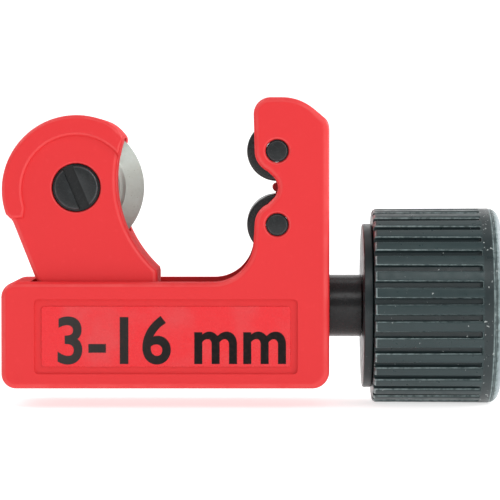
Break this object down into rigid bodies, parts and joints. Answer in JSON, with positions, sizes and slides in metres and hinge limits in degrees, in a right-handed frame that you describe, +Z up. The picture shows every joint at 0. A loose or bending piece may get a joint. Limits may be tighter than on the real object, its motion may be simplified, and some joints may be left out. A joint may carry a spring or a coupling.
{
  "type": "pipe cutter",
  "caption": "Small screw-fed pipe cutter: red channel frame with rollers, a sliding cutting-wheel fork and a ribbed black knob.",
  "frame": {"origin": "centre of the frame's flat bottom face", "axes": "+X along the feed screw towards the knob, +Y from the front face to the back, +Z up from the bottom face"},
  "size_m": [0.0685, 0.027, 0.0422],
  "materials": {
    "red_paint": "smooth glossy paint",
    "knob_plastic": "satin",
    "black_steel": "blackened",
    "wheel_steel": "ground",
    "plain_steel": "plated",
    "label_film": "clear film over red"
  },
  "bodies": {
    "frame": {"frame_casting": "red_paint", "size_label": "label_film", "upper_roller_pin": "black_steel", "lower_roller_pin": "black_steel"},
    "feed": {"feed_screw": "black_steel", "neck_sleeve": "black_steel", "knob_flange": "knob_plastic", "retaining_ring": "plain_steel", "thrust_washer": "plain_steel", "knob_core": "knob_plastic", "knob_sleeve": "knob_plastic", "knob_end_cap": "knob_plastic", "knob_washer": "plain_steel", "knob_screw": "plain_steel"},
    "slide": {"slide_casting": "red_paint", "wheel_axle_screw": "black_steel", "wheel_washer_front": "plain_steel", "wheel_washer_rear": "plain_steel"},
    "wheel": {"cutting_wheel": "wheel_steel"},
    "roller_upper": {"upper_roller": "black_steel"},
    "roller_lower": {"lower_roller": "black_steel"}
  },
  "joints": [
    {"name": "knob_turn", "type": "hinge", "parent": "frame", "child": "feed", "pos_m": [0, 0, 0.01085], "axis": [-1, 0, 0], "range_deg": [-181, 5221]},
    {"name": "slide_travel", "type": "slide", "parent": "frame", "child": "slide", "axis": [1, 0, 0], "range_m": [-0.0005, 0.0145]},
    {"name": "wheel_spin", "type": "hinge", "parent": "slide", "child": "wheel", "pos_m": [-0.0122, 0, 0.0273], "axis": [0, 1, 0], "continuous": true},
    {"name": "upper_roller_spin", "type": "hinge", "parent": "frame", "child": "roller_upper", "pos_m": [0.0152, 0, 0.0323], "axis": [0, 1, 0], "continuous": true},
    {"name": "lower_roller_spin", "type": "hinge", "parent": "frame", "child": "roller_lower", "pos_m": [0.0152, 0, 0.0223], "axis": [0, 1, 0], "continuous": true}
  ],
  "couplings": [
    {"joint": "knob_turn", "follows": "slide_travel", "rad_per_m": 6283.2}
  ]
}
